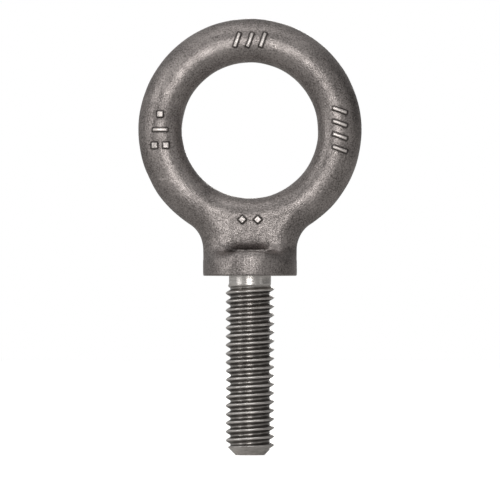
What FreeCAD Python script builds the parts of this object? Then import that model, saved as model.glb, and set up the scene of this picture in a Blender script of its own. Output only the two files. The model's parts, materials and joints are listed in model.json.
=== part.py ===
import FreeCAD
import Part
import math
import os

import Sketcher
from FreeCAD import Placement, Rotation, Vector

# Shouldered eye bolt, 5/16 in coarse thread, in millimetres. +Z runs up the shank towards the eye, the ring
# lies in the XZ plane, and the origin is the centre of the flat seat under the shoulder.
DIMENSIONS = {
    "eyeDia": 22.2,            # clear opening of the ring
    "ringOutsideDia": 36.4,
    "trimWidth": 1.2,          # flat left round the ring, inside and out, where the flash was trimmed
    "eyeHeight": 23.7,         # seat to centre of the eye
    "webThickness": 7.0,
    "webFoot": 3.0,            # the web starts inside the shoulder at this height and is trimmed to it
    "webEdgeRadius": 3.3,
    "blendRadius": 4.9,        # side curve from the shoulder out to the ring
    "shoulderDia": 15.24,
    "shoulderWall": 3.9,       # height of the shoulder's upright wall
    "crownDia": 6.6,
    "crownHeight": 4.6,        # the ledge rises to this height under the ring
    "lipRadius": 0.8,
    "seatChamfer": 0.15,
    "landDia": 6.85,           # plain turned length under the seat
    "landLength": 1.55,
    "recessDia": 8.2,          # shallow turned recess in the seat, clear of the thread's crests
    "recessDepth": 0.12,
    "threadDia": 7.94,
    "threadPitch": 25.4 / 18,
    "threadDepth": 0.765,
    "threadPhase": 1.59,       # groove centre above the threaded length's top, on the +X side
    "shankLength": 29.2,       # seat to tip
    "tipDia": 4.7,
    "markHeight": 0.35,        # how far the raised marks stand off the ring
    "markCircle": 14.6,        # distance of the marks from the centre of the eye
    "strokeLength": 2.6,
    "strokeWidth": 0.6,
    "strokeSpacing": 2.1,
    "strokeLean": 20,          # degrees
    "pipWidth": 1.3,
}
SECTORS = 12                   # the shank's wall is made in this many arcs, so that each crest is short
CLEARANCE = 1.0                # how far a cutting profile reaches past the metal it cuts

doc = FreeCAD.newDocument("eye_bolt")
dims = doc.addObject("Spreadsheet::Sheet", "dims")
for row, (alias, size) in enumerate(DIMENSIONS.items(), start=1):
    dims.set(f"A{row}", alias)
    dims.set(f"B{row}", repr(size))
    dims.setAlias(f"B{row}", alias)
doc.recompute()


def number(expression):
    """The value of an expression in the sheet's aliases."""
    return float(dims.evalExpression(expression))


def sheet(expression):
    """The same expression, as another object of the document reads it."""
    for alias in sorted(DIMENSIONS, key=len, reverse=True):
        expression = expression.replace(alias, f"<<dims>>.{alias}")
    return expression


def new_body(label, height="0"):
    """An empty body whose own origin stands at this height over the seat."""
    body = doc.addObject("PartDesign::Body", label)
    body.Label = label
    body.setExpression(".Placement.Base.z", sheet(height))
    return body


def origin(body, role):
    return next(item for item in body.Origin.OriginFeatures if item.Role == role)


def new_sketch(body, name, plane):
    sketch = body.newObject("Sketcher::SketchObject", name)
    sketch.AttachmentSupport = [(origin(body, plane), "")]
    sketch.MapMode = "FlatFace"
    return sketch


def rule(sketch, kind, *references, size=None):
    """One constraint. A size is an expression, bound to the sheet."""
    if size is None:
        sketch.addConstraint(Sketcher.Constraint(kind, *references))
        return
    index = sketch.addConstraint(Sketcher.Constraint(kind, *references, number(size)))
    sketch.setExpression(f"Constraints[{index}]", sheet(size))


def hold(sketch, line, end, across, up):
    """Hold one end of a line to a place given by two expressions."""
    for kind, size in (("DistanceX", across), ("DistanceY", up)):
        if number(size) == 0:
            axis = -2 if kind == "DistanceX" else -1
            rule(sketch, "PointOnObject", line, end, axis)
        else:
            rule(sketch, kind, -1, 1, line, end, size=size)


def polygon(sketch, corners):
    """A closed outline through corners, each a pair of expressions."""
    points = [Vector(number(across), number(up), 0) for across, up in corners]
    count = len(points)
    for index in range(count):
        sketch.addGeometry(Part.LineSegment(points[index], points[(index + 1) % count]), False)
    for index in range(count):
        rule(sketch, "Coincident", index, 2, (index + 1) % count, 1)
    for index, (across, up) in enumerate(corners):
        hold(sketch, index, 1, across, up)


def turn(body, sketch, axis):
    """A full revolution of a sketch about one of the body's axes."""
    feature = body.newObject("PartDesign::Revolution", sketch.Name + "_turned")
    feature.Profile = sketch
    feature.ReferenceAxis = (origin(body, axis), [""])
    feature.Angle = 360
    feature.Refine = False
    sketch.Visibility = False
    return feature


def make_eye_ring():
    """Round-section ring with a narrow flat inside and outside."""
    body = new_body("eye_ring", "eyeHeight")
    sketch = new_sketch(body, "ring_section", "XY_Plane")
    inner, outer, half = number("eyeDia / 2"), number("ringOutsideDia / 2"), number("trimWidth / 2")
    centre = Vector((inner + outer) / 2, 0, 0)
    radius = math.hypot((outer - inner) / 2, half)
    corner = math.atan2(half, (outer - inner) / 2)
    circle = Part.Circle(centre, Vector(0, 0, 1), radius)
    sketch.addGeometry(Part.LineSegment(Vector(outer, -half, 0), Vector(outer, half, 0)), False)
    sketch.addGeometry(Part.ArcOfCircle(circle, corner, math.pi - corner), False)
    sketch.addGeometry(Part.LineSegment(Vector(inner, half, 0), Vector(inner, -half, 0)), False)
    sketch.addGeometry(Part.ArcOfCircle(circle, math.pi + corner, 2 * math.pi - corner), False)
    for index in range(4):
        rule(sketch, "Coincident", index, 2, (index + 1) % 4, 1)
    hold(sketch, 0, 1, "ringOutsideDia / 2", "-trimWidth / 2")
    hold(sketch, 0, 2, "ringOutsideDia / 2", "trimWidth / 2")
    hold(sketch, 2, 1, "eyeDia / 2", "trimWidth / 2")
    hold(sketch, 2, 2, "eyeDia / 2", "-trimWidth / 2")
    rule(sketch, "PointOnObject", 1, 3, -1)
    rule(sketch, "PointOnObject", 3, 3, -1)
    turn(body, sketch, "Y_Axis")
    return body


def make_shoulder():
    """The shoulder with its crowned top and flat seat, and the plain turned land below it."""
    body = new_body("shoulder")
    sketch = new_sketch(body, "shoulder_section", "XZ_Plane")
    polygon(sketch, [
        ("0", "-landLength"),
        ("landDia / 2", "-landLength"),
        ("landDia / 2", "recessDepth"),
        ("recessDia / 2", "recessDepth"),
        ("recessDia / 2", "0"),
        ("shoulderDia / 2 - seatChamfer", "0"),
        ("shoulderDia / 2", "seatChamfer"),
        ("shoulderDia / 2", "shoulderWall"),
        ("crownDia / 2", "crownHeight"),
        ("0", "crownHeight"),
    ])
    turned = turn(body, sketch, "Z_Axis")
    doc.recompute()
    lip = [
        f"Edge{index}"
        for index, edge in enumerate(turned.Shape.Edges, start=1)
        if isinstance(edge.Curve, Part.Circle)
        and abs(edge.Curve.Radius - number("shoulderDia / 2")) < 1e-6
        and abs(edge.Curve.Center.z - number("shoulderWall")) < 1e-6
    ]
    rounded = body.newObject("PartDesign::Fillet", "shoulder_lip")
    rounded.Base = (turned, lip)
    rounded.setExpression("Radius", sheet("lipRadius"))
    rounded.Refine = False
    return body


def make_web_blank():
    """The web as a rounded plate, before the ring and the shoulder take their share of it."""
    body = new_body("web_blank")
    sketch = new_sketch(body, "web_outline", "XZ_Plane")
    half, foot, eye = number("shoulderDia / 2"), number("webFoot"), number("eyeHeight")
    outer, middle = number("ringOutsideDia / 2"), number("(ringOutsideDia + eyeDia) / 4")
    blend = number("blendRadius")
    centre = Vector(half + blend, eye - math.sqrt((outer + blend) ** 2 - (half + blend) ** 2), 0)
    ring = Vector(0, eye, 0)
    outwards = (centre - ring).normalize()
    meet, inside = ring + outwards * outer, ring + outwards * middle
    up = Vector(0, 0, 1)
    towards = math.atan2(-outwards.y, -outwards.x)
    sketch.addGeometry(Part.LineSegment(Vector(0, foot, 0), Vector(half, foot, 0)), False)
    sketch.addGeometry(Part.LineSegment(Vector(half, foot, 0), Vector(half, centre.y, 0)), False)
    sketch.addGeometry(Part.ArcOfCircle(Part.Circle(centre, up, blend), towards, math.pi), False)
    sketch.addGeometry(Part.LineSegment(meet, inside), False)
    inner_arc = Part.Circle(ring, up, middle)
    sketch.addGeometry(Part.ArcOfCircle(inner_arc, -math.pi / 2, towards - math.pi), False)
    sketch.addGeometry(Part.LineSegment(Vector(0, eye - middle, 0), Vector(0, foot, 0)), False)
    sketch.addGeometry(Part.Circle(ring, up, outer), True)
    rule(sketch, "Coincident", 0, 2, 1, 1)
    rule(sketch, "Tangent", 1, 2, 2, 2)
    rule(sketch, "Coincident", 2, 1, 3, 1)
    rule(sketch, "Coincident", 3, 2, 4, 2)
    rule(sketch, "Coincident", 4, 1, 5, 1)
    rule(sketch, "Coincident", 5, 2, 0, 1)
    rule(sketch, "Coincident", 4, 3, 6, 3)
    rule(sketch, "Horizontal", 0)
    rule(sketch, "Vertical", 1)
    rule(sketch, "Vertical", 5)
    hold(sketch, 0, 1, "0", "webFoot")
    hold(sketch, 6, 3, "0", "eyeHeight")
    rule(sketch, "Radius", 6, size="ringOutsideDia / 2")
    rule(sketch, "Radius", 4, size="(ringOutsideDia + eyeDia) / 4")
    rule(sketch, "Radius", 2, size="blendRadius")
    rule(sketch, "DistanceX", 0, 1, 0, 2, size="shoulderDia / 2")
    rule(sketch, "Tangent", 2, 1, 6)
    rule(sketch, "PointOnObject", 6, 3, 3)
    pad = body.newObject("PartDesign::Pad", "web_half")
    pad.Profile = sketch
    pad.SideType = "Symmetric"
    pad.setExpression("Length", sheet("webThickness"))
    mirrored = body.newObject("PartDesign::Mirrored", "web_whole")
    mirrored.Originals = [pad]
    mirrored.MirrorPlane = (origin(body, "YZ_Plane"), [""])
    body.Tip = mirrored
    doc.recompute()
    sides = [
        f"Edge{index}"
        for index, edge in enumerate(mirrored.Shape.Edges, start=1)
        if all(abs(abs(vertex.Point.y) - number("webThickness / 2")) < 1e-6 for vertex in edge.Vertexes)
        and min(abs(vertex.Point.x) for vertex in edge.Vertexes) > number("shoulderDia / 2") - 1e-6
        and (edge.CenterOfMass - Vector(0, edge.CenterOfMass.y, eye)).Length > outer
    ]
    rounded = body.newObject("PartDesign::Fillet", "web_edges")
    rounded.Base = (mirrored, sides)
    rounded.setExpression("Radius", sheet("webEdgeRadius"))
    body.Tip = rounded
    return body


def cut(label, base, tool):
    feature = doc.addObject("Part::Cut", label)
    feature.Label = label
    feature.Base = base
    feature.Tool = tool
    feature.Refine = False
    return feature


def make_threaded_shank():
    """The rolled length: a blank with 45 degree ends and one right-hand groove cut along it."""
    body = new_body("threaded_shank", "-landLength")
    profile = new_sketch(body, "shank_profile", "XZ_Plane")
    tip = "-(shankLength - landLength)"
    polygon(profile, [
        ("0", "0"),
        ("landDia / 2", "0"),
        ("threadDia / 2", "-(threadDia - landDia) / 2"),
        ("threadDia / 2", f"{tip} + (threadDia - tipDia) / 2"),
        ("tipDia / 2", tip),
        ("0", tip),
    ])
    sector = turn(body, profile, "Z_Axis")
    sector.Angle = 360 / SECTORS
    blank = body.newObject("PartDesign::PolarPattern", "shank_blank")
    blank.Originals = [sector]
    blank.Axis = (origin(body, "Z_Axis"), [""])
    blank.Angle = 360
    blank.Occurrences = SECTORS
    blank.Refine = False
    body.Tip = blank

    # a 60 degree groove whose root is a quarter of the pitch wide at the thread's depth
    slope = "tan(30deg)"
    mouth = f"threadPitch * 7 / 16 + {CLEARANCE / 4} * {slope}"
    root = f"threadPitch * 7 / 16 - threadDepth * {slope}"
    groove = new_sketch(body, "groove_section", "XZ_Plane")
    polygon(groove, [
        (f"threadDia / 2 + {CLEARANCE / 4}", f"threadPhase + {mouth}"),
        ("threadDia / 2 - threadDepth", f"threadPhase + {root}"),
        ("threadDia / 2 - threadDepth", f"threadPhase - ({root})"),
        (f"threadDia / 2 + {CLEARANCE / 4}", f"threadPhase - ({mouth})"),
    ])
    doc.recompute()
    thread = body.newObject("PartDesign::SubtractiveHelix", "thread")
    thread.Profile = groove
    thread.ReferenceAxis = (origin(body, "Z_Axis"), [""])
    thread.Mode = 0
    thread.setExpression("Pitch", sheet("threadPitch"))
    thread.setExpression("Height", sheet("shankLength - landLength + threadPhase + threadPitch"))
    thread.Reversed = True
    thread.Refine = False
    body.Tip = thread
    return body, blank


def bar(label, length, width, across, along, lean):
    """One upright raised bar through the front of the ring, centred at this place from the eye's centre."""
    block = doc.addObject("Part::Box", label)
    block.setExpression("Length", sheet(width))
    block.setExpression("Width", sheet("webThickness"))
    block.setExpression("Height", sheet(length))
    lean_by = Rotation(Vector(0, 1, 0), number(lean))
    middle = Vector(number(width) / 2, number("webThickness"), number(length) / 2)
    place = Vector(number(across), 0, number("eyeHeight") + number(along))
    block.Placement = Placement(place - lean_by.multVec(middle), lean_by)
    return block


def make_marks(ring):
    """Raised plain marks on the ring's front: leaning bars, square pips and one level bar."""
    skin = doc.addObject("Part::Torus", "mark_skin")
    skin.setExpression("Radius1", sheet("(ringOutsideDia + eyeDia) / 4"))
    skin.setExpression("Radius2", sheet("(ringOutsideDia - eyeDia) / 4 + markHeight"))
    skin.Placement = Placement(Vector(0, 0, number("eyeHeight")), Rotation(Vector(1, 0, 0), 90))

    stroke = ("strokeLength", "strokeWidth")
    pip = ("pipWidth", "pipWidth")
    level = ("strokeWidth", "strokeLength")
    marks = {
        "mark_top": [(stroke, f"strokeSpacing * {n}", "markCircle", "strokeLean") for n in (-1, 0, 1)],
        "mark_right": [
            (level, "markCircle", f"strokeSpacing * {n}", "strokeLean") for n in (-1.5, -0.5, 0.5, 1.5)
        ],
        "mark_left": [
            (pip, "-markCircle", "strokeSpacing * 1.2", "0"),
            (level, "-markCircle", "0", "0"),
            (pip, "-markCircle - pipWidth * 0.7", "-strokeSpacing * 1.2", "0"),
            (pip, "-markCircle + pipWidth * 0.7", "-strokeSpacing * 1.2", "0"),
        ],
        "mark_neck": [(pip, f"strokeSpacing * {n}", "-markCircle", "45") for n in (-0.6, 0.6)],
    }
    made = []
    for label, bars in marks.items():
        blocks = [
            bar(f"{label}_bar_{index}", length, width, across, along, lean)
            for index, ((length, width), across, along, lean) in enumerate(bars, start=1)
        ]
        block_set = doc.addObject("Part::Compound", label + "_bars")
        block_set.Links = blocks
        raised = doc.addObject("Part::MultiCommon", label + "_raised")
        raised.Shapes = [block_set, skin]
        made.append(cut(label, raised, ring))
    return made


eye_ring = make_eye_ring()
shoulder = make_shoulder()
web_blank = make_web_blank()
neck_web = cut("neck_web", cut("web_under_ring", web_blank, eye_ring), shoulder)
threaded_shank, shank_blank = make_threaded_shank()
marks = make_marks(eye_ring)
doc.recompute()

failed = [item.Name for item in doc.Objects if {"Invalid", "Error"} & set(item.State)]
if failed:
    raise RuntimeError("these objects did not build: " + ", ".join(failed))

# a groove that ran off the blank, or out of its depth, shows in the metal it took away
taken = shank_blank.Shape.Volume - threaded_shank.Shape.Volume
section = number("threadDepth * (threadPitch * 7 / 8 - threadDepth * tan(30deg))")
turns = number("(shankLength - landLength) / threadPitch")
expected = section * turns * 2 * math.pi * number("threadDia / 2 - threadDepth * 0.42")
if not 0.85 < taken / expected < 1.0:
    raise RuntimeError(f"the thread took {taken:.1f} mm3, and {expected:.1f} mm3 less its ends is right")

os.makedirs("parts", exist_ok=True)
for piece in [eye_ring, neck_web, shoulder, threaded_shank, *marks]:
    shape = piece.Shape
    if shape.isNull() or not shape.isValid() or not shape.Solids:
        raise RuntimeError(piece.Label + " is not a sound solid")
    box = shape.optimalBoundingBox()
    print(f"{piece.Label:16s} {len(shape.Solids)} solid(s) {shape.Volume:9.2f} mm3", end=" ")
    print(f"z {box.ZMin:.2f} to {box.ZMax:.2f}")
    shape.exportStep(f"parts/{piece.Label}.step")
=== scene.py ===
import json
import math

import bmesh
import bpy
import numpy as np
from mathutils import Matrix, Vector


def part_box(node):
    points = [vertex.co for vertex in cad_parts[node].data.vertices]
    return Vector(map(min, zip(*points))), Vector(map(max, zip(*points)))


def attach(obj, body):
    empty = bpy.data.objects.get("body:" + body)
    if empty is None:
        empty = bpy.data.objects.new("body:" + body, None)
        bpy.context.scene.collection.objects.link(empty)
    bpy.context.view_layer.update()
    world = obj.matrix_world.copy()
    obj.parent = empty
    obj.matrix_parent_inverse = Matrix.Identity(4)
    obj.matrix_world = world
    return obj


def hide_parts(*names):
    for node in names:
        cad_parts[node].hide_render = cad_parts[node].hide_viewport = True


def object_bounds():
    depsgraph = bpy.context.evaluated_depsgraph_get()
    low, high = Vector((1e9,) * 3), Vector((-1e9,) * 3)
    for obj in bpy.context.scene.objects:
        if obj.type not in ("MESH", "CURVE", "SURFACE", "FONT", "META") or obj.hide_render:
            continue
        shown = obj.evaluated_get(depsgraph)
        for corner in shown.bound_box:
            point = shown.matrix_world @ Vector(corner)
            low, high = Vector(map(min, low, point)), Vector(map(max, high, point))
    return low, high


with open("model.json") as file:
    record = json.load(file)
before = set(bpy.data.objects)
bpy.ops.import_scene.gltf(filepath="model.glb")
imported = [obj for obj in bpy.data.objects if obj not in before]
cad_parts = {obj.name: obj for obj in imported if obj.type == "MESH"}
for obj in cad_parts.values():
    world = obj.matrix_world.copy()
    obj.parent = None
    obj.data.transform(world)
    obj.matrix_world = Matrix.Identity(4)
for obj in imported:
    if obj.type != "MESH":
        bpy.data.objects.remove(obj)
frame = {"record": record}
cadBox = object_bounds()
print("frame loaded")

mm = 0.001
scene = bpy.context.scene

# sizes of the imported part, in millimetres, which is what the shapes below are worked out in
mounts = {mount["name"]: mount for mount in frame["record"]["mounts"]}
eyeHeight = mounts["eye"]["pos_m"][2] / mm
eyeRadius = mounts["eye"]["dims"]["r_mm"]
threadRadius = mounts["shank_thread"]["dims"]["r_mm"]
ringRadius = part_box("eye_ring")[1].x / mm
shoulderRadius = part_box("shoulder")[1].x / mm
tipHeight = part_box("threaded_shank")[0].z / mm
tubeCircle = (eyeRadius + ringRadius) / 2  # radius of the circle the ring's section is swept round


def ramp(value, low, high):  # 0 below low, 1 above high, smooth between
    t = np.clip((value - low) / (high - low), 0, 1)
    return t * t * (3 - 2 * t)


def roundJoin(a, b, radius):  # two solids as one, with a fillet where they meet
    inside = np.hypot(np.maximum(radius - a, 0), np.maximum(radius - b, 0))
    return np.maximum(radius, np.minimum(a, b)) - inside


def roundMeet(a, b, radius):  # what two solids share, with its edge rounded
    return -roundJoin(-a, -b, radius)


def meshPoints(mesh):
    points = np.empty(len(mesh.vertices) * 3)
    mesh.vertices.foreach_get("co", points)
    return points.reshape(-1, 3)


def setMeshPoints(mesh, points):
    mesh.vertices.foreach_set("co", points.astype(np.float32).ravel())
    mesh.update()


def setAttribute(mesh, name, values):
    attribute = mesh.attributes.new(name, "FLOAT", "POINT")
    attribute.data.foreach_set("value", values.astype(np.float32))


def addPiece(name, mesh, replaced=()):
    mesh.transform(Matrix.Scale(mm, 4))
    mesh.shade_smooth()
    piece = bpy.data.objects.new(name, mesh)
    scene.collection.objects.link(piece)
    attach(piece, "root")
    if replaced:
        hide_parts(*replaced)
    print(name, "has", len(mesh.polygons), "faces")
    return piece


def voxelMesh(mesh, cell):  # the same solid in even cells
    carrier = bpy.data.objects.new("cells", mesh)
    scene.collection.objects.link(carrier)
    cells = carrier.modifiers.new("cells", "REMESH")
    cells.mode = "VOXEL"
    cells.voxel_size = cell
    settled = carrier.evaluated_get(bpy.context.evaluated_depsgraph_get())
    result = bpy.data.meshes.new_from_object(settled)
    bpy.data.objects.remove(carrier)
    return result


# the forged eye, web and shoulder
forging = {
    "cell": 0.235,            # mesh cell on the plain surfaces
    "tubeRadius": 3.6,
    "tubeLean": 0.07,         # the die draws the ring's section a little towards the eye
    "trimRounding": 0.04,     # edges of the narrow flats where the flash was trimmed
    "webHalf": 3.56,          # half thickness of the web where it leaves the ring
    "webEdge": 3.3,
    "blendRadius": 4.9,       # side curve from the shoulder to the ring
    "webFoot": 0.4,
    "lipHeight": 3.93,        # top of the shoulder's wall at the front
    "valleyHalf": 1.6,        # the valley under the ring is full depth this far from the middle
    "cheekFrom": 5.6,         # and gone by here
    "valleyDepth": 1.6,
    "valleyTurns": ((8, 0.02), (5.5, 0.3)),  # below these heights the web draws in, at these rates
    "webTop": 8,              # the web ends this far under the eye's centre
    "crownSlope": -0.07,      # the ledge behind the lip falls away towards the web
    "lipRounding": 0.42,      # edge of the shoulder at the front
    "cheekLipRounding": 1.7,  # and towards the sides
    "wallLean": 0.1,          # how the top of the shoulder's wall draws in
    "wallLeanFrom": 2.1,
    "valleyRounding": 0.25,   # where the web meets the shoulder, at the front
    "cheekRounding": 2.5,     # and towards the sides
    "easeRounds": 45,
    "seatRounding": 0.16,
    "recessRadius": 4.1,
    "recessDepth": 0.12,
    "seatLoops": 22,
    "unevenness": 0.011,      # hand of the die and the hammer
    "unevenLengths": (1.6, 6.5),
}
marks = {
    "height": 0.36,
    "flank": 0.16,            # how far the side of a mark spreads
    "rounding": 0.22,
    "strokeLength": 2.6,
    "strokeWidth": 0.72,
    "spacing": 2.1,
    "lean": 20,
    "pipWidth": 1.15,
    "circle": 14.6,
}


def markStrokes():  # centre across, centre up, half length, half width, turn from upright
    long, wide, pip = marks["strokeLength"] / 2, marks["strokeWidth"] / 2, marks["pipWidth"] / 2
    gap, circle, lean = marks["spacing"], marks["circle"], math.radians(marks["lean"])
    top = [(gap * n, circle, long, wide, lean) for n in (-1, 0, 1)]
    right = [(circle, gap * n, long, wide, math.pi / 2 + lean) for n in (-1.5, -0.5, 0.5, 1.5)]
    left = [
        (-circle, gap * 1.2, pip, pip, 0),
        (-circle, 0, long, wide, math.pi / 2),
        (-circle - pip * 1.6, -gap * 1.2, pip, pip, 0),
        (-circle + pip * 1.6, -gap * 1.2, pip, pip, 0),
    ]
    neck = [(gap * n, -circle, pip, pip, math.pi / 4) for n in (-0.6, 0.6)]
    return top + right + left + neck


def markDistance(points):  # distance outside the nearest mark's outline, seen from the front
    nearest = np.full(len(points), 99.0)
    for across, up, long, wide, turn in markStrokes():
        x, z = points[:, 0] - across, points[:, 2] - eyeHeight - up
        along = np.abs(x * math.sin(turn) + z * math.cos(turn))
        beside = np.abs(x * math.cos(turn) - z * math.sin(turn))
        out = roundMeet(along - long, beside - wide, marks["rounding"])
        nearest = np.minimum(nearest, out)
    return np.where(points[:, 1] < 0, nearest, 99.0)


waves = np.random.default_rng(7)
waveTurns = waves.normal(size=(28, 3))
waveTurns /= np.linalg.norm(waveTurns, axis=1)[:, None]
waveLengths = waves.uniform(*forging["unevenLengths"], 28)
wavePhases = waves.uniform(0, 2 * math.pi, 28)


def unevenness(points):
    total = np.zeros(len(points))
    for direction, length, phase in zip(waveTurns, waveLengths, wavePhases):
        total += np.sin(points @ direction * (2 * math.pi / length) + phase) * length
    return total * forging["unevenness"] / (forging["unevenLengths"][1] * 1.6)


def webOutline(across, up):  # the web seen from the front: strip, side curve and ring
    blend = forging["blendRadius"]
    centreX = shoulderRadius + blend
    centreZ = eyeHeight - math.sqrt((ringRadius + blend) ** 2 - centreX ** 2)
    strip = across - shoulderRadius
    disc = np.hypot(across, up - eyeHeight) - ringRadius
    curve = blend - np.hypot(across - centreX, up - centreZ)
    below = -centreX * (up - centreZ) - (eyeHeight - centreZ) * (across - centreX) > 0
    return np.where(up <= centreZ, strip, np.where(below, curve, disc))


def forgingField(points):  # below zero inside the metal
    x, y, z = np.abs(points[:, 0]), np.abs(points[:, 1]), points[:, 2]
    fromEye = np.hypot(x, z - eyeHeight)
    tube = np.hypot(fromEye - tubeCircle + forging["tubeLean"] * y, y) - forging["tubeRadius"]
    flats = np.abs(fromEye - tubeCircle) - (ringRadius - eyeRadius) / 2
    ring = roundMeet(tube, flats, forging["trimRounding"])

    cheek = ramp(x, forging["valleyHalf"], forging["cheekFrom"])
    tuck = sum(rate * np.maximum(height - z, 0) ** 2 for height, rate in forging["valleyTurns"])
    tuck = np.minimum(tuck, forging["valleyDepth"])
    half = forging["webHalf"] - tuck * (1 - cheek)
    web = roundMeet(webOutline(x, z) + forging["tubeLean"] * y, y - half, forging["webEdge"])
    web = np.maximum(np.maximum(web, tubeCircle - fromEye), forging["webFoot"] - z)
    web = np.maximum(web, z - eyeHeight + forging["webTop"])
    eye = np.minimum(ring, web)

    radius = np.hypot(x, y)
    lean = forging["wallLean"] * np.maximum(z - forging["wallLeanFrom"], 0) ** 2
    wall = radius - shoulderRadius + lean
    crown = z - forging["lipHeight"] - forging["crownSlope"] * (shoulderRadius - radius)
    lip = forging["lipRounding"] + (forging["cheekLipRounding"] - forging["lipRounding"]) * cheek
    collar = roundMeet(wall, crown, lip)
    fillet = forging["valleyRounding"]
    fillet = fillet + (forging["cheekRounding"] - fillet) * cheek
    fillet = fillet * (1 - 0.95 * ramp(x, 4.6, 7.6))
    return roundJoin(eye, collar, fillet)


def markHeights(points):
    return marks["height"] * (1 - ramp(markDistance(points), -marks["flank"], 0.02))


def finishedField(points):
    fade = ramp(points[:, 2], 0.3, 1.2)
    return forgingField(points) - unevenness(points) * fade - markHeights(points)


def settle(mesh, field, rounds, step=0.02):  # bring every point onto the surface of the field
    points = meshPoints(mesh)
    for _ in range(rounds):
        value = field(points)
        slope = np.stack([
            (field(points + shift) - field(points - shift)) / (2 * step)
            for shift in np.eye(3) * step
        ], axis=1)
        length = np.maximum((slope ** 2).sum(1), 0.2)
        move = -(value / length)[:, None] * slope
        reach = np.maximum(np.linalg.norm(move, axis=1) / 0.3, 1)
        points = points + move / reach[:, None]
    setMeshPoints(mesh, points)


def easeNeck(mesh, rounds):  # relax the cheeks between the web and the shoulder, as hot metal fills a die
    points = meshPoints(mesh)
    ends = np.empty(len(mesh.edges) * 2, np.int32)
    mesh.edges.foreach_get("vertices", ends)
    first, second = ends.reshape(-1, 2).T
    neighbours = np.bincount(ends, minlength=len(points))
    x, y, z = np.abs(points[:, 0]), np.abs(points[:, 1]), points[:, 2]
    share = 0.5 * ramp(x, 2.2, 3.8) * ramp(y, 0.8, 1.8)
    share = share * ramp(z, 0.8, 1.8) * (1 - ramp(z, 6.4, 8.0))
    for _ in range(rounds):
        for axis in range(3):
            total = np.bincount(first, points[second, axis], len(points))
            total += np.bincount(second, points[first, axis], len(points))
            points[:, axis] += share * (total / neighbours - points[:, axis])
    setMeshPoints(mesh, points)


def latheFaces(rows, columns):
    faces = []
    for start in range(0, (rows - 1) * columns, columns):
        for j in range(columns):
            a, b = start + j, start + (j + 1) % columns
            faces.append((a, b, b + columns, a + columns))
    return faces


def seedForging():  # rough closed solids that fill the same space
    seed = bmesh.new()
    turns, sides = 96, 24
    loops = []
    tube = 3.5
    for i in range(turns):
        angle = 2 * math.pi * i / turns
        loop = []
        for j in range(sides):
            around = 2 * math.pi * j / sides
            distance = tubeCircle + tube * math.cos(around)
            x, z = distance * math.sin(angle), eyeHeight + distance * math.cos(angle)
            loop.append(seed.verts.new((x, tube * math.sin(around), z)))
        loops.append(loop)
    for i in range(turns):
        for j in range(sides):
            a, b = loops[i], loops[(i + 1) % turns]
            seed.faces.new((a[j], b[j], b[(j + 1) % sides], a[(j + 1) % sides]))
    web = Matrix.Translation((0, 0, 7)) @ Matrix.Diagonal((16, 5.2, 8, 1))
    bmesh.ops.create_cube(seed, size=1, matrix=web)
    bmesh.ops.create_cone(seed, cap_ends=True, segments=96, radius1=7.5, radius2=7.5, depth=5.2,
                          matrix=Matrix.Translation((0, 0, 1.4)))
    bmesh.ops.recalc_face_normals(seed, faces=seed.faces)
    mesh = bpy.data.meshes.new("forging_seed")
    seed.to_mesh(mesh)
    seed.free()
    return mesh


def keepOutside(work):  # drop what was the rough solid's underside, which settles inside the metal
    largest, reached = set(), set()
    for start in work.verts:
        if start in reached:
            continue
        shell, waiting = {start}, [start]
        while waiting:
            vert = waiting.pop()
            for edge in vert.link_edges:
                other = edge.other_vert(vert)
                if other not in shell:
                    shell.add(other)
                    waiting.append(other)
        reached |= shell
        largest = max(largest, shell, key=len)
    bmesh.ops.delete(work, geom=[vert for vert in work.verts if vert not in largest], context="VERTS")


def refineMarks(mesh):  # smaller cells where the marks stand
    work = bmesh.new()
    work.from_mesh(mesh)
    for margin in (0.45, 0.3):
        points = np.array([vert.co for vert in work.verts])
        near = markDistance(points) < margin
        work.verts.index_update()
        chosen = [edge for edge in work.edges if all(near[vert.index] for vert in edge.verts)]
        bmesh.ops.subdivide_edges(work, edges=chosen, cuts=1, use_grid_fill=True)
    work.to_mesh(mesh)
    work.free()


def closeSeat(mesh):  # cut the shoulder square and turn its seat
    work = bmesh.new()
    work.from_mesh(mesh)
    rounding = forging["seatRounding"]
    everything = work.verts[:] + work.edges[:] + work.faces[:]
    bmesh.ops.bisect_plane(work, geom=everything, dist=1e-5, plane_co=(0, 0, rounding),
                           plane_no=(0, 0, 1), clear_inner=True)
    keepOutside(work)
    corner = [(shoulderRadius - rounding * (1 - math.cos(a)), rounding * (1 - math.sin(a)))
              for a in np.radians((30, 60, 90))]
    faceEdge, count = shoulderRadius - rounding, forging["seatLoops"]
    face = [(faceEdge - (faceEdge - forging["recessRadius"]) * k / count, 0) for k in range(1, count + 1)]
    recess = [(forging["recessRadius"] - 0.06, forging["recessDepth"]), (3.1, forging["recessDepth"])]
    rim = [edge for edge in work.edges if edge.is_boundary]
    turned = []
    for place, (radius, height) in enumerate(corner + face + recess):
        made = bmesh.ops.extrude_edge_only(work, edges=rim)["geom"]
        rim = [item for item in made if isinstance(item, bmesh.types.BMEdge) and item.is_boundary]
        if place >= len(corner):
            turned += [item for item in made if isinstance(item, bmesh.types.BMFace)]
        for vert in {vert for edge in rim for vert in edge.verts}:
            flat = Vector((vert.co.x, vert.co.y, 0)).normalized() * radius
            vert.co = (flat.x, flat.y, height)
    made = bmesh.ops.contextual_create(work, geom=rim)["faces"]
    for face in turned + made:
        face.material_index = 1
    bmesh.ops.recalc_face_normals(work, faces=work.faces)
    work.to_mesh(mesh)
    work.free()


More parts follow.
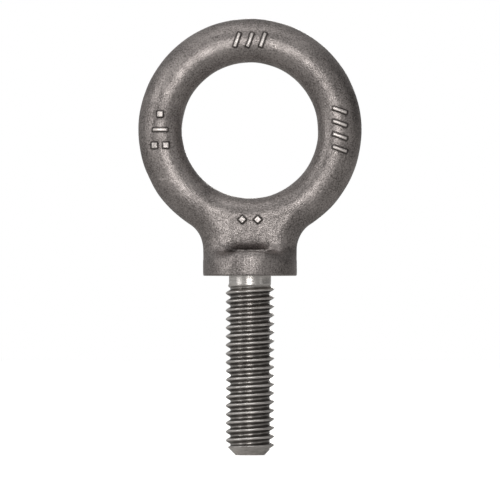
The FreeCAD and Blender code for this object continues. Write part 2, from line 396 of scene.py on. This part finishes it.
forgedMesh = seedForging()
for cell in (0.5, 0.3, forging["cell"]):
    forgedMesh = voxelMesh(forgedMesh, cell)
    settle(forgedMesh, forgingField, 4)
refineMarks(forgedMesh)
settle(forgedMesh, finishedField, 5)
easeNeck(forgedMesh, forging["easeRounds"])
lowCorner, highCorner = np.array(cadBox) / mm  # the unevenness stays inside the part's own box
setMeshPoints(forgedMesh, np.clip(meshPoints(forgedMesh), lowCorner, highCorner))
closeSeat(forgedMesh)
points = meshPoints(forgedMesh)
outside = markDistance(points)
# the tops of the marks are lightened: rubbed metal and painted highlight
setAttribute(forgedMesh, "markTop", 1 - ramp(outside, -0.17, -0.07))
# painted shade round the feet of the marks, where their sides meet the forging
setAttribute(forgedMesh, "markFootShade", np.exp(-((outside - 0.05) / 0.12) ** 2))
smile = np.maximum(1 - (points[:, 0] / 3.8) ** 2, 0.02)  # painted shade in the groove over the lip
above = points[:, 2] - forging["lipHeight"]
valleyShade = np.sqrt(smile) * ramp(above, -0.1, 0.05) * (1 - ramp(above, 0.3 * smile, 1.3 * smile))
setAttribute(forgedMesh, "valleyShade", valleyShade)
fromEye = np.hypot(points[:, 0], points[:, 2] - eyeHeight)
onFlat = 1 - ramp((ringRadius - eyeRadius) / 2 - np.abs(fromEye - tubeCircle), 0.03, 0.12)
setAttribute(forgedMesh, "trimmed", onFlat * (1 - ramp(np.abs(points[:, 1]), 0.5, 0.75)))
addPiece("forged_eye", forgedMesh, (
    "eye_ring", "neck_web", "shoulder", "mark_top", "mark_right", "mark_left", "mark_neck"))


# the turned land and the rolled thread
land = {
    "radius": 3.43,
    "end": -0.95,             # where the rolled length starts
    "step": 0.01,             # how far it stands over the rolled length
    "toolMark": 0.0022,
}
thread = {
    "pitch": 25.4 / 18,
    "rootRadius": 3.2,
    "crestFlat": 0.17,        # share of the pitch
    "crestRounding": 0.3,
    "rootRounding": 0.1,
    "grooveAtRight": -1.42,   # height of the groove's centre on the +X side
    "runOut": (-1.2, -2.2),   # the thread grows to its full depth between these heights
    "tipRadius": 2.35,
    "tipRounding": 0.08,
    "rowsPerPitch": 20,
    "columns": 180,
    "dents": 0.035,
}


def softMin(a, b, width):
    return np.minimum(a, b) - np.maximum(width - np.abs(a - b), 0) ** 2 / (4 * width)


def softMax(a, b, width):
    return -softMin(-a, -b, width)


def threadSurface(angle, height):  # radius of the rolled length at this place
    turn = (height - thread["grooveAtRight"]) / thread["pitch"] - angle / (2 * math.pi)
    fromGroove = np.abs(turn - np.round(turn)) * thread["pitch"]
    full = math.sqrt(3) / 2 * thread["pitch"]
    flank = threadRadius + full * thread["crestFlat"] - full + fromGroove * math.sqrt(3)
    profile = softMin(softMax(flank, thread["rootRadius"], thread["rootRounding"]), threadRadius,
                      thread["crestRounding"])
    grown = 1 - ramp(height, thread["runOut"][1], thread["runOut"][0])
    start = land["radius"] - land["step"]
    radius = start + grown * (profile - start)
    cone = thread["tipRadius"] + height - tipHeight
    return softMin(radius, cone, thread["tipRounding"])


def dentDepth(angle, height):  # light handling marks, only felt on the crests
    x, y = np.cos(angle) * threadRadius, np.sin(angle) * threadRadius
    total = np.sin(x * 2.9 + height * 1.7 + 0.6) * np.sin(y * 3.3 - height * 2.3 + 1.1)
    total = total * np.sin(x * 1.3 - y * 1.9 + height * 3.1)
    return thread["dents"] * ramp(total, 0.45, 0.9)


def unshadedShare(angle, height):  # 1 on crests and run-out, less in the roots, 0 on the flanks; the thread gets painted shade where this is low
    slope = (threadSurface(angle, height + 0.01) - threadSurface(angle, height - 0.01)) / 0.02
    level = 1 - ramp(np.abs(slope), 0.75, 1.6)
    outer = ramp(threadSurface(angle, height), thread["rootRadius"] + 0.05, land["radius"])
    cone = 1 - ramp(height, tipHeight + 1.4, tipHeight + 1.7)
    return np.maximum(level * (0.34 + 0.66 * outer), cone)


def threadMesh():
    rowsPerPitch, columns = thread["rowsPerPitch"], thread["columns"]
    step = thread["pitch"] / rowsPerPitch
    low = int((tipHeight - land["end"]) / step) - rowsPerPitch - 2
    rows = np.arange(low, rowsPerPitch + 2)
    row, column = np.meshgrid(rows, np.arange(columns), indexing="ij")
    angle = column * 2 * math.pi / columns
    height = thread["grooveAtRight"] + row * step + thread["pitch"] * column / columns
    radius = threadSurface(angle, height)
    radius = radius - dentDepth(angle, height) * ramp(radius, threadRadius - 0.25, threadRadius)
    radius = np.maximum(radius, 0.4)
    points = np.stack([radius * np.cos(angle), radius * np.sin(angle), height], axis=-1).reshape(-1, 3)
    faces = []
    for i in range(len(rows) - 1):
        for j in range(columns - 1):
            a = i * columns + j
            faces.append((a, a + 1, a + columns + 1, a + columns))
        j = i + rowsPerPitch  # after a full turn the grid meets itself one pitch on
        if j + 1 < len(rows):
            a = i * columns + columns - 1
            faces.append((a, j * columns, (j + 1) * columns, a + columns))
    mesh = bpy.data.meshes.new("rolled_thread")
    mesh.from_pydata(points.tolist(), [], faces)
    setAttribute(mesh, "unshaded", unshadedShare(angle, height).ravel())
    work = bmesh.new()
    work.from_mesh(mesh)
    bmesh.ops.delete(work, geom=[vert for vert in work.verts if not vert.link_faces], context="VERTS")
    for height, side in ((land["end"] + 0.15, 1), (tipHeight, -1)):
        everything = work.verts[:] + work.edges[:] + work.faces[:]
        bmesh.ops.bisect_plane(work, geom=everything, dist=1e-6, plane_co=(0, 0, height),
                               plane_no=(0, 0, side), clear_outer=True)
        rim = [edge for edge in work.edges if edge.is_boundary
               and all(abs(vert.co.z - height) < 1e-4 for vert in edge.verts)]
        made = bmesh.ops.extrude_edge_only(work, edges=rim)["geom"]
        rim = [item for item in made if isinstance(item, bmesh.types.BMEdge) and item.is_boundary
               and all(abs(vert.co.z - height) < 1e-4 for vert in item.verts)]
        for vert in {vert for edge in rim for vert in edge.verts}:
            vert.co = (vert.co.x * 0.97, vert.co.y * 0.97, height)
        bmesh.ops.contextual_create(work, geom=rim)
    bmesh.ops.recalc_face_normals(work, faces=work.faces)
    work.to_mesh(mesh)
    work.free()
    return mesh


def landMesh():  # a lathe profile from inside the shoulder down to the rolled length
    radius, end = land["radius"], land["end"]
    inside = 1.2
    heights = np.linspace(0.3, end, 46)
    ridges = radius - land["toolMark"] * (0.5 - 0.5 * np.cos(heights * 2 * math.pi / 0.11))
    profile = [(0.9, inside), (radius, inside)] + list(zip(ridges, heights)) + [(0.9, end)]
    columns = 192
    angle = np.arange(columns) * 2 * math.pi / columns
    points = [(r * math.cos(a), r * math.sin(a), z) for r, z in profile for a in angle]
    faces = latheFaces(len(profile), columns)
    faces.append(tuple(range(columns)))
    faces.append(tuple(range((len(profile) - 1) * columns, len(profile) * columns)))
    mesh = bpy.data.meshes.new("turned_land")
    mesh.from_pydata(points, [], faces)
    work = bmesh.new()
    work.from_mesh(mesh)
    bmesh.ops.recalc_face_normals(work, faces=work.faces)
    work.to_mesh(mesh)
    work.free()
    return mesh


rolledThread = addPiece("rolled_thread", threadMesh(), ("threaded_shank",))
turnedLand = addPiece("turned_land", landMesh())


# finishes
def addNode(tree, kind, **inputs):
    node = tree.nodes.new("ShaderNode" + kind)
    for name, value in inputs.items():
        node.inputs[name].default_value = value
    return node


def mixColours(tree, share, first, second):
    node = tree.nodes.new("ShaderNodeMix")
    node.data_type = "RGBA"
    for socket, value in ((node.inputs[6], first), (node.inputs[7], second), (node.inputs[0], share)):
        if isinstance(value, (tuple, float)):
            socket.default_value = value
        else:
            tree.links.new(value, socket)
    return node.outputs[2]


def mapRange(tree, value, low, high, outLow, outHigh):
    ends = {"From Min": low, "From Max": high, "To Min": outLow, "To Max": outHigh}
    node = addNode(tree, "MapRange", **ends)
    tree.links.new(value, node.inputs["Value"])
    return node.outputs["Result"]


def combine(tree, operation, a, b):
    node = tree.nodes.new("ShaderNodeMath")
    node.operation = operation
    for socket, value in zip(node.inputs, (a, b)):
        if isinstance(value, (int, float)):
            socket.default_value = value
        else:
            tree.links.new(value, socket)
    return node.outputs[0]


def meshShare(tree, name):  # a value worked out on the mesh's points
    node = addNode(tree, "Attribute")
    node.attribute_name = name
    return node.outputs["Fac"]


def blendTones(tree, a, b, shareOfA):
    first = combine(tree, "MULTIPLY", a, shareOfA)
    return combine(tree, "ADD", first, combine(tree, "MULTIPLY", b, 1 - shareOfA))


def startMaterial(name):
    material = bpy.data.materials.new(name)
    material.use_nodes = True
    tree = material.node_tree
    return material, tree, tree.nodes["Principled BSDF"], addNode(tree, "TexCoord").outputs["Object"]


def noise(tree, place, scale, detail=2.0, roughness=0.5, stretch=None):
    if stretch:
        mapping = addNode(tree, "Mapping", Scale=stretch)
        tree.links.new(place, mapping.inputs["Vector"])
        place = mapping.outputs["Vector"]
    node = addNode(tree, "TexNoise", Scale=scale, Detail=detail, Roughness=roughness)
    tree.links.new(place, node.inputs["Vector"])
    return node.outputs["Fac"]


def bump(tree, height, distance, before=None):
    node = addNode(tree, "Bump", Strength=1.0, Distance=distance)
    tree.links.new(height, node.inputs["Height"])
    if before is not None:
        tree.links.new(before, node.inputs["Normal"])
    return node.outputs["Normal"]


scaleFinish = {
    "dark": (0.165, 0.151, 0.147, 1.0),
    "light": (0.495, 0.454, 0.443, 1.0),
    # lighter colour on the tops of the marks: rubbed metal and painted highlight
    "rubbedHighlight": (0.84, 0.79, 0.77, 1.0),
    # painted shade, laid at the feet of the marks and in the groove over the lip
    "paintedShade": (0.04, 0.036, 0.034, 1.0),
    "roughness": (0.35, 0.52),
    "grain": 4200.0,          # blasted grain, features to the metre
    "grainHeight": 0.000044,
    "pitting": 900.0,
    "pittingHeight": 0.00002,
}
brightFinish = {
    "dark": (0.62, 0.595, 0.58, 1.0),
    "light": (0.95, 0.92, 0.9, 1.0),
    # painted shade for the flanks and roots of the thread
    "groove": (0.2, 0.187, 0.178, 1.0),
    "roughness": (0.26, 0.4),
    "turnedRoughness": (0.27, 0.4),
    "streakHeight": 0.000004,
}


def forgedSteel():
    material, tree, shader, place = startMaterial("forged_steel")
    grain = noise(tree, place, scaleFinish["grain"], 1.0, 0.5)
    pits = noise(tree, place, scaleFinish["pitting"], 4.0, 0.6)
    patches = noise(tree, place, 160.0, 3.0, 0.55)
    tone = mapRange(tree, blendTones(tree, grain, patches, 0.6), 0.36, 0.64, 0.0, 1.0)
    colour = mixColours(tree, tone, scaleFinish["dark"], scaleFinish["light"])
    # the tops of the marks get a lighter colour that is rubbed metal and painted highlight; their feet and
    # the groove over the lip get painted shade
    layers = (("markTop", 0.85, "rubbedHighlight"), ("markFootShade", 0.8, "paintedShade"), ("valleyShade", 0.6, "paintedShade"))
    for name, strength, over in layers:
        share = combine(tree, "MULTIPLY", meshShare(tree, name), strength)
        colour = mixColours(tree, share, colour, scaleFinish[over])
    tree.links.new(colour, shader.inputs["Base Color"])
    shader.inputs["Metallic"].default_value = 1.0
    low, high = scaleFinish["roughness"]
    tree.links.new(mapRange(tree, pits, 0.3, 0.7, low, high), shader.inputs["Roughness"])
    strokes = noise(tree, place, 1.0, 2.0, 0.5, (900.0, 9000.0, 900.0))
    coarse = bump(tree, pits, scaleFinish["pittingHeight"])
    fine = bump(tree, grain, scaleFinish["grainHeight"], coarse)
    brushed = combine(tree, "MULTIPLY", strokes, meshShare(tree, "trimmed"))
    tree.links.new(bump(tree, brushed, 0.00002, fine), shader.inputs["Normal"])
    return material


def turnedFace():
    material, tree, shader, place = startMaterial("turned_seat_face")
    rings = addNode(tree, "TexWave", Scale=2200.0, Distortion=0.4, Detail=2.0)
    rings.wave_type = "RINGS"
    rings.rings_direction = "Z"
    tree.links.new(place, rings.inputs["Vector"])
    smear = noise(tree, place, 420.0, 3.0)
    tone = combine(tree, "MULTIPLY", smear, mapRange(tree, rings.outputs["Fac"], 0.0, 1.0, 0.6, 1.4))
    colour = mixColours(tree, tone, brightFinish["dark"], brightFinish["light"])
    tree.links.new(colour, shader.inputs["Base Color"])
    shader.inputs["Metallic"].default_value = 1.0
    tree.links.new(mapRange(tree, smear, 0.3, 0.7, 0.25, 0.4), shader.inputs["Roughness"])
    return material


def rolledSteel(name, stretch, grooved):
    material, tree, shader, place = startMaterial(name)
    streaks = noise(tree, place, 1.0, 4.0, 0.6, stretch)
    stain = noise(tree, place, 500.0, 4.0, 0.6)
    tone = mapRange(tree, blendTones(tree, streaks, stain, 0.5), 0.38, 0.6, 0.0, 1.0)
    colour = mixColours(tree, tone, brightFinish["dark"], brightFinish["light"])
    if grooved:
        # painted shade on the flanks and in the roots of the thread
        colour = mixColours(tree, meshShare(tree, "unshaded"), brightFinish["groove"], colour)
    tree.links.new(colour, shader.inputs["Base Color"])
    shader.inputs["Metallic"].default_value = 1.0
    low, high = brightFinish["roughness" if grooved else "turnedRoughness"]
    tree.links.new(mapRange(tree, stain, 0.3, 0.7, low, high), shader.inputs["Roughness"])
    tree.links.new(bump(tree, streaks, brightFinish["streakHeight"]), shader.inputs["Normal"])
    return material


forgedMesh.materials.append(forgedSteel())
forgedMesh.materials.append(turnedFace())
rolledThread.data.materials.append(rolledSteel("rolled_thread_steel", (700.0, 700.0, 7000.0), True))
turnedLand.data.materials.append(rolledSteel("turned_land_steel", (500.0, 500.0, 9000.0), False))
print("finishes made")


# floor, light and camera
studio = {
    "floorSize": 1.6,
    "floorColour": (0.86, 0.86, 0.855, 1.0),
    "floorBounce": (0.62, 0.615, 0.605, 1.0),  # what the floor gives back to the steel
    "floorGlow": 0.7,
    "surround": 0.42,
    "surroundColour": (1.0, 0.99, 0.97, 1.0),
    "darkSide": (0.5, 0.49, 0.48, 1.0),        # its colour from the camera's side of the room
    "darkCap": (34, 12),                       # degrees round the front: where that starts, and is full
    "shadeSide": (0.2, 0.195, 0.19, 1.0),      # its colour from the right
    "lampColour": (1.0, 0.985, 0.96),
    "cameraDistance": 0.9,
    "cameraElevation": -0.6,
    "lens": 397.5,
    "aimHeight": 0.0042,
    # azimuth, elevation, distance, width, height and brightness; azimuth 0 is the front, 90 the right
    "softboxes": {
        "front": (-3, 3, 1.2, 0.5, 0.5, 6.0),
        "left": (-62, 6, 0.9, 0.24, 0.9, 2.6),
        "right": (60, 6, 0.9, 0.2, 0.9, 0.7),
        "top": (0, 75, 0.9, 0.7, 0.4, 1.0),
        "back": (175, 12, 1.2, 0.3, 0.4, 6.0),
    },
}


def placeAround(azimuth, elevation, distance):
    a, e = math.radians(azimuth), math.radians(elevation)
    return Vector((math.sin(a) * math.cos(e), -math.cos(a) * math.cos(e), math.sin(e))) * distance


def seenOrLit(tree, seen, lit):  # one look for the camera, another as light on the steel
    mix = addNode(tree, "MixShader")
    tree.links.new(addNode(tree, "LightPath").outputs["Is Camera Ray"], mix.inputs[0])
    tree.links.new(lit.outputs[0], mix.inputs[1])
    tree.links.new(seen.outputs[0], mix.inputs[2])
    return mix.outputs[0]


def facing(tree, place, direction):
    node = addNode(tree, "VectorMath")
    node.operation = "DOT_PRODUCT"
    tree.links.new(place, node.inputs[0])
    node.inputs[1].default_value = direction
    return node.outputs["Value"]


def makeFloor():
    work = bmesh.new()
    bmesh.ops.create_grid(work, x_segments=24, y_segments=24, size=studio["floorSize"])
    mesh = bpy.data.meshes.new("floor")
    work.to_mesh(mesh)
    work.free()
    floor = bpy.data.objects.new("floor", mesh)
    scene.collection.objects.link(floor)
    floor.location.z = tipHeight * mm
    material, tree, shader, _ = startMaterial("pale_floor")
    shader.inputs["Base Color"].default_value = studio["floorColour"]
    shader.inputs["Roughness"].default_value = 0.8
    shader.inputs["Specular IOR Level"].default_value = 0.1
    shader.inputs["Emission Color"].default_value = (1, 1, 1, 1)
    shader.inputs["Emission Strength"].default_value = studio["floorGlow"]
    bounced = addNode(tree, "BsdfDiffuse", Color=studio["floorBounce"])
    tree.links.new(seenOrLit(tree, shader, bounced), tree.nodes["Material Output"].inputs["Surface"])
    mesh.materials.append(material)


def makeSurround():  # white to the eye, softer as light, darker from the front and the right
    world = bpy.data.worlds.new("studio")
    scene.world = world
    world.use_nodes = True
    tree = world.node_tree
    tree.nodes.clear()
    seen = addNode(tree, "Background", Color=(1, 1, 1, 1), Strength=1.0)
    lit = addNode(tree, "Background", Strength=studio["surround"])
    place = addNode(tree, "TexCoord").outputs["Generated"]
    wide, narrow = (math.cos(math.radians(angle)) for angle in studio["darkCap"])
    share = mapRange(tree, facing(tree, place, (0, -1, 0)), wide, narrow, 0.0, 1.0)
    colour = mixColours(tree, share, studio["surroundColour"], studio["darkSide"])
    share = mapRange(tree, facing(tree, place, (1, 0, 0)), 0.3, 0.9, 0.0, 1.0)
    colour = mixColours(tree, share, colour, studio["shadeSide"])
    tree.links.new(colour, lit.inputs["Color"])
    tree.links.new(seenOrLit(tree, seen, lit), addNode(tree, "OutputWorld").inputs["Surface"])


def addSoftbox(name, azimuth, elevation, distance, width, height, brightness):
    light = bpy.data.lights.new(name, "AREA")
    light.shape = "RECTANGLE"
    light.size, light.size_y = width, height
    light.energy = brightness * math.pi * width * height
    light.color = studio["lampColour"]
    softbox = bpy.data.objects.new(name, light)
    scene.collection.objects.link(softbox)
    aim = Vector((0, 0, studio["aimHeight"]))
    softbox.location = aim + placeAround(azimuth, elevation, distance)
    softbox.rotation_euler = (aim - softbox.location).to_track_quat("-Z", "Y").to_euler()
    softbox.visible_camera = False


def makeCamera():
    camera = bpy.data.objects.new("camera", bpy.data.cameras.new("camera"))
    scene.collection.objects.link(camera)
    camera.data.lens = studio["lens"]
    camera.data.clip_start, camera.data.clip_end = 0.05, 10
    aim = Vector((0, 0, studio["aimHeight"]))
    camera.location = aim + placeAround(0, studio["cameraElevation"], studio["cameraDistance"])
    camera.rotation_euler = (math.pi / 2 - math.radians(studio["cameraElevation"]), 0, 0)
    scene.camera = camera


scene.view_settings.view_transform = "Standard"
makeFloor()
makeSurround()
for name, setting in studio["softboxes"].items():
    addSoftbox(name, *setting)
makeCamera()
print("studio ready")
